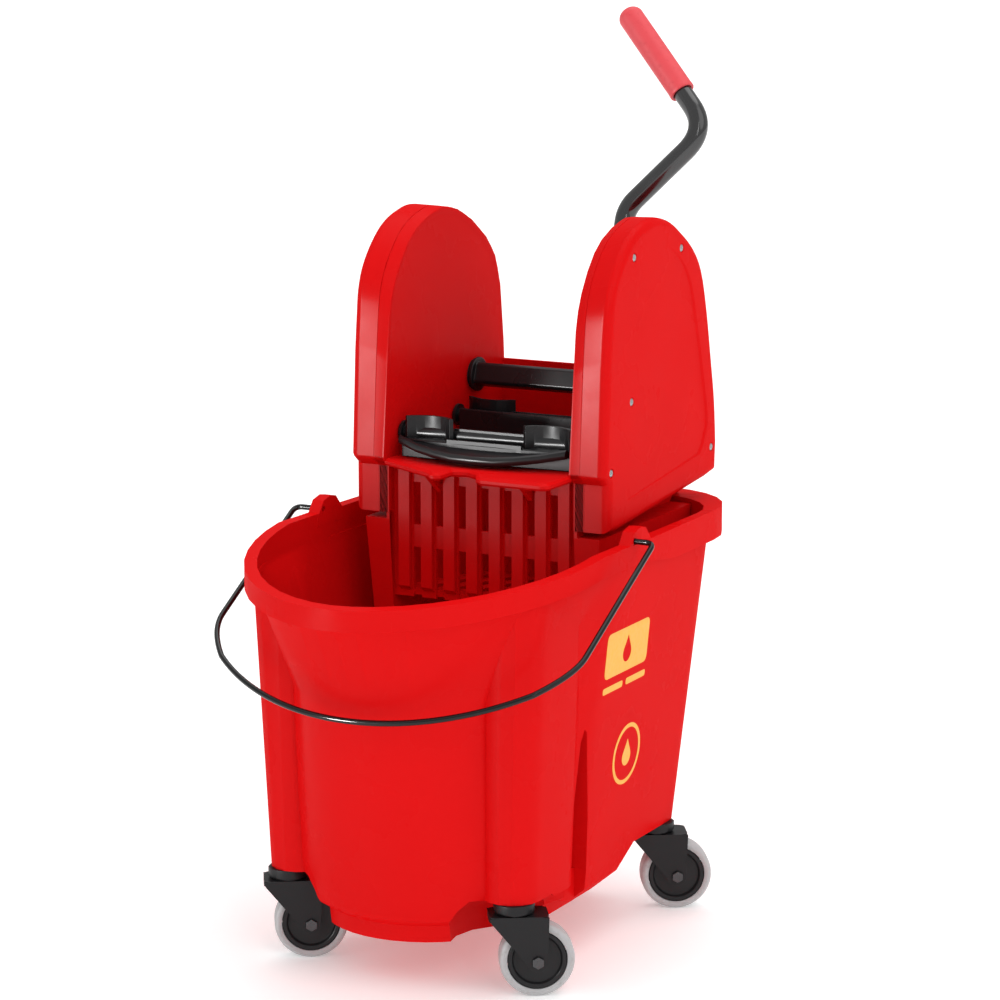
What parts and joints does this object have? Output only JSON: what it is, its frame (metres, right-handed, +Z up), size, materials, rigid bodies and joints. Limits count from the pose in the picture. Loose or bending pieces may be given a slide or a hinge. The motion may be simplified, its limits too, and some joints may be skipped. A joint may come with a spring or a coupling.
{
  "type": "mop bucket with down-press wringer",
  "caption": "Red plastic mop bucket on swivel casters, with a down-press wringer whose side lever turns two geared press plates, and a wire bail handle.",
  "frame": {"origin": "middle of the whole footprint, on the floor under the wheels", "axes": "+X to the right across the bucket, -Y toward the round front lobe, +Z up"},
  "size_m": [0.4278, 0.6508, 0.9607],
  "materials": {
    "red_shell": "satin moulded polypropylene",
    "press_black": "satin moulded plastic",
    "caster_black": "satin moulded plastic",
    "hub_grey": "moulded plastic",
    "tyre_grey": "non-marking grey rubber",
    "lever_black": "glossy black enamel on steel tube",
    "black_wire": "glossy black coated wire",
    "grip_red": "soft satin vinyl grip",
    "zinc": "zinc plated"
  },
  "bodies": {
    "bucket": {"bucket_tub": "red_shell", "wringer_body": "red_shell", "caster_stem_front_left": "caster_black", "caster_stem_front_right": "caster_black", "caster_stem_rear_left": "caster_black", "caster_stem_rear_right": "caster_black", "cheek_cover_right": "red_shell", "shaft_bush_right": "hub_grey", "return_spring_right": "zinc", "cover_screw_1_right": "zinc", "cover_screw_2_right": "zinc", "cover_screw_3_right": "zinc", "cover_screw_4_right": "zinc", "cover_screw_5_right": "zinc", "cheek_cover_left": "red_shell", "shaft_bush_left": "hub_grey", "return_spring_left": "zinc", "cover_screw_1_left": "zinc", "cover_screw_2_left": "zinc", "cover_screw_3_left": "zinc", "cover_screw_4_left": "zinc", "cover_screw_5_left": "zinc"},
    "bail": {"bail_handle": "black_wire"},
    "fork_front_left": {"caster_fork_front_left": "caster_black", "axle_bolt_front_left": "zinc"},
    "wheel_front_left": {"wheel_hub_front_left": "hub_grey", "wheel_tyre_front_left": "tyre_grey"},
    "fork_front_right": {"caster_fork_front_right": "caster_black", "axle_bolt_front_right": "zinc"},
    "wheel_front_right": {"wheel_hub_front_right": "hub_grey", "wheel_tyre_front_right": "tyre_grey"},
    "fork_rear_left": {"caster_fork_rear_left": "caster_black", "axle_bolt_rear_left": "zinc"},
    "wheel_rear_left": {"wheel_hub_rear_left": "hub_grey", "wheel_tyre_rear_left": "tyre_grey"},
    "fork_rear_right": {"caster_fork_rear_right": "caster_black", "axle_bolt_rear_right": "zinc"},
    "wheel_rear_right": {"wheel_hub_rear_right": "hub_grey", "wheel_tyre_rear_right": "tyre_grey"},
    "lever": {"cross_shaft": "press_black", "lever_hub": "lever_black", "lever_tube": "lever_black", "lever_grip": "grip_red", "lever_bolt_1": "zinc", "lever_bolt_2": "zinc", "shaft_gear_left": "press_black", "shaft_gear_right": "press_black"},
    "rear_plate": {"press_plate_rear": "press_black", "rear_plate_gear_left": "press_black", "rear_plate_gear_right": "press_black"},
    "front_plate": {"press_plate_front": "press_black", "front_plate_gear_left": "press_black", "front_plate_gear_right": "press_black"},
    "idler_rear_right": {"idler_gear_rear_right": "press_black"},
    "idler_front_right": {"idler_gear_front_right": "press_black"},
    "idler_rear_left": {"idler_gear_rear_left": "press_black"},
    "idler_front_left": {"idler_gear_front_left": "press_black"}
  },
  "joints": [
    {"name": "bail_hinge", "type": "hinge", "parent": "bucket", "child": "bail", "pos_m": [0, -0.02638, 0.442], "axis": [-1, 0, 0], "range_deg": [0, 118]},
    {"name": "swivel_front_left", "type": "hinge", "parent": "bucket", "child": "fork_front_left", "pos_m": [-0.1316, -0.17938, 0.085], "axis": [0, 0, 1], "continuous": true},
    {"name": "spin_front_left", "type": "hinge", "parent": "fork_front_left", "child": "wheel_front_left", "pos_m": [-0.11248, -0.16725, 0.0381], "axis": [-0.5358, 0.8443, 0], "continuous": true},
    {"name": "swivel_front_right", "type": "hinge", "parent": "bucket", "child": "fork_front_right", "pos_m": [0.1316, -0.17938, 0.085], "axis": [0, 0, 1], "continuous": true},
    {"name": "spin_front_right", "type": "hinge", "parent": "fork_front_right", "child": "wheel_front_right", "pos_m": [0.15072, -0.16725, 0.0381], "axis": [-0.5358, 0.8443, 0], "continuous": true},
    {"name": "swivel_rear_left", "type": "hinge", "parent": "bucket", "child": "fork_rear_left", "pos_m": [-0.1316, 0.15062, 0.085], "axis": [0, 0, 1], "continuous": true},
    {"name": "spin_rear_left", "type": "hinge", "parent": "fork_rear_left", "child": "wheel_rear_left", "pos_m": [-0.11248, 0.16275, 0.0381], "axis": [-0.5358, 0.8443, 0], "continuous": true},
    {"name": "swivel_rear_right", "type": "hinge", "parent": "bucket", "child": "fork_rear_right", "pos_m": [0.1316, 0.15062, 0.085], "axis": [0, 0, 1], "continuous": true},
    {"name": "spin_rear_right", "type": "hinge", "parent": "fork_rear_right", "child": "wheel_rear_right", "pos_m": [0.15072, 0.16275, 0.0381], "axis": [-0.5358, 0.8443, 0], "continuous": true},
    {"name": "press_lever", "type": "hinge", "parent": "bucket", "child": "lever", "pos_m": [0, 0.1866, 0.56287], "axis": [-1, 0, 0], "range_deg": [0, 55], "stiffness_Nm_per_rad": 2.5, "springref_deg": -34.38},
    {"name": "rear_plate_hinge", "type": "hinge", "parent": "bucket", "child": "rear_plate", "pos_m": [0, 0.14492, 0.524], "axis": [1, 0, 0], "range_deg": [0, 154]},
    {"name": "front_plate_hinge", "type": "hinge", "parent": "bucket", "child": "front_plate", "pos_m": [0, 0.02492, 0.524], "axis": [-1, 0, 0], "range_deg": [0, 154]},
    {"name": "idler_rear_right_hinge", "type": "hinge", "parent": "bucket", "child": "idler_rear_right", "pos_m": [0.129, 0.10742, 0.524], "axis": [-1, 0, 0], "range_deg": [0, 102.67]},
    {"name": "idler_front_right_hinge", "type": "hinge", "parent": "bucket", "child": "idler_front_right", "pos_m": [0.129, 0.06242, 0.524], "axis": [1, 0, 0], "range_deg": [0, 102.67]},
    {"name": "idler_rear_left_hinge", "type": "hinge", "parent": "bucket", "child": "idler_rear_left", "pos_m": [-0.129, 0.10742, 0.524], "axis": [-1, 0, 0], "range_deg": [0, 102.67]},
    {"name": "idler_front_left_hinge", "type": "hinge", "parent": "bucket", "child": "idler_front_left", "pos_m": [-0.129, 0.06242, 0.524], "axis": [1, 0, 0], "range_deg": [0, 102.67]}
  ],
  "couplings": [
    {"joint": "rear_plate_hinge", "follows": "press_lever", "ratio": 2.8},
    {"joint": "front_plate_hinge", "follows": "press_lever", "ratio": 2.8},
    {"joint": "idler_rear_right_hinge", "follows": "press_lever", "ratio": 1.8667},
    {"joint": "idler_front_right_hinge", "follows": "press_lever", "ratio": 1.8667},
    {"joint": "idler_rear_left_hinge", "follows": "press_lever", "ratio": 1.8667},
    {"joint": "idler_front_left_hinge", "follows": "press_lever", "ratio": 1.8667}
  ]
}
